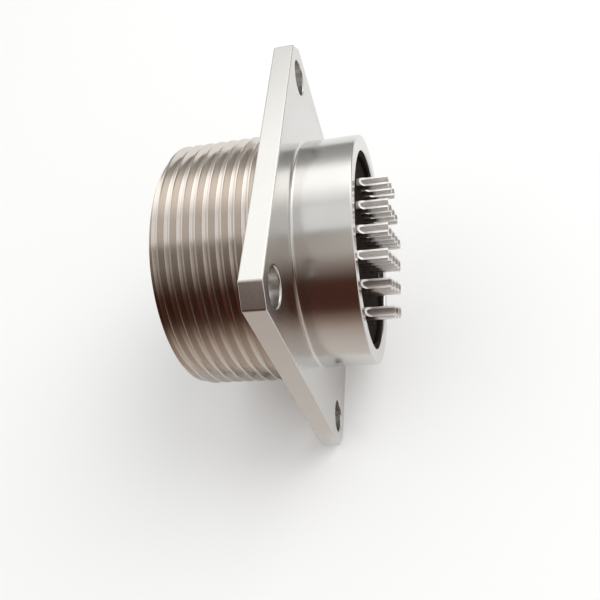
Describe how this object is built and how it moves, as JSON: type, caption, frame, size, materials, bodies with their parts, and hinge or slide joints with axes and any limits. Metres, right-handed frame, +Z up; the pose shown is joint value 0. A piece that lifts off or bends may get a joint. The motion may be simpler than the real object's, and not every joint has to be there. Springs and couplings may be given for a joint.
{
  "type": "panel receptacle connector",
  "caption": "Circular panel receptacle with a square four-hole flange, a threaded mating barrel and solder-cup contacts in a black insulator.",
  "frame": {"origin": "centre of the flange's rear face, which seats on the panel, on the connector's axis", "axes": "+Y along the connector's axis towards the solder cups, -Y towards the threaded mating end, +Z up, with the flange's sides along X and Z"},
  "size_m": [0.05, 0.0337, 0.05],
  "materials": {
    "nickel": "satin nickel plate",
    "insulator": "matt black moulding",
    "spring_steel": "black oxide",
    "silver": "silver plate"
  },
  "bodies": {
    "root": {"shell": "nickel", "front_insulator": "insulator", "rear_insulator": "insulator", "retaining_ring": "spring_steel", "contact_01": "silver", "contact_02": "silver", "contact_03": "silver", "contact_04": "silver", "contact_05": "silver", "contact_06": "silver", "contact_07": "silver", "contact_08": "silver", "contact_09": "silver", "contact_10": "silver", "contact_11": "silver", "contact_12": "silver", "contact_13": "silver", "contact_14": "silver", "contact_15": "silver", "contact_16": "silver", "contact_17": "silver", "contact_18": "silver", "contact_19": "silver", "contact_20": "silver", "contact_21": "silver", "contact_22": "silver", "contact_23": "silver", "contact_24": "silver"}
  },
  "joints": []
}
